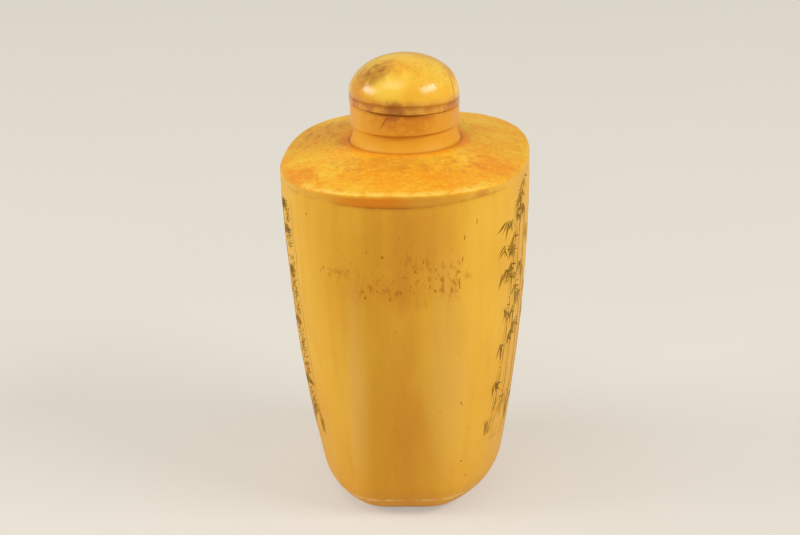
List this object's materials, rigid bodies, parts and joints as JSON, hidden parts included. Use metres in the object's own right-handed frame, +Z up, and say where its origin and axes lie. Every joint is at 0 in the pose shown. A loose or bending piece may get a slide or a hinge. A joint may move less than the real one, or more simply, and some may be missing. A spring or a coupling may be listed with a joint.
{
  "type": "snuff bottle",
  "caption": "Palm-sized tapering bone bottle with a rounded-oblong section, a porous shoulder plate, a turned neck and a domed stopper that lifts out with its cork and spoon.",
  "frame": {"origin": "centre of the foot, on the surface that the bottle stands on", "axes": "+Z up along the neck axis; the plain narrow ends face -Y and +Y; the broad engraved faces face -X and +X"},
  "size_m": [0.044, 0.0536, 0.08],
  "materials": {
    "bone": "honey-coloured cortical bone with fine lengthwise grain and pores, hand-polished",
    "porous_bone": "orange-stained open-grained bone, pitted and waxed",
    "polished_bone": "pale yellow bone, highly polished, with brown stains",
    "cork": "natural cork, fine-grained"
  },
  "bodies": {
    "bottle": {"body_tube": "bone", "base_plate": "bone", "shoulder_plate": "porous_bone", "neck_ring": "bone"},
    "stopper": {"stopper_collar": "bone", "stopper_dome": "polished_bone", "stopper_cork": "cork", "snuff_spoon": "polished_bone"}
  },
  "joints": [
    {"name": "stopper_lift", "type": "slide", "parent": "bottle", "child": "stopper", "axis": [0, 0, 1], "range_m": [0, 0.06]}
  ]
}
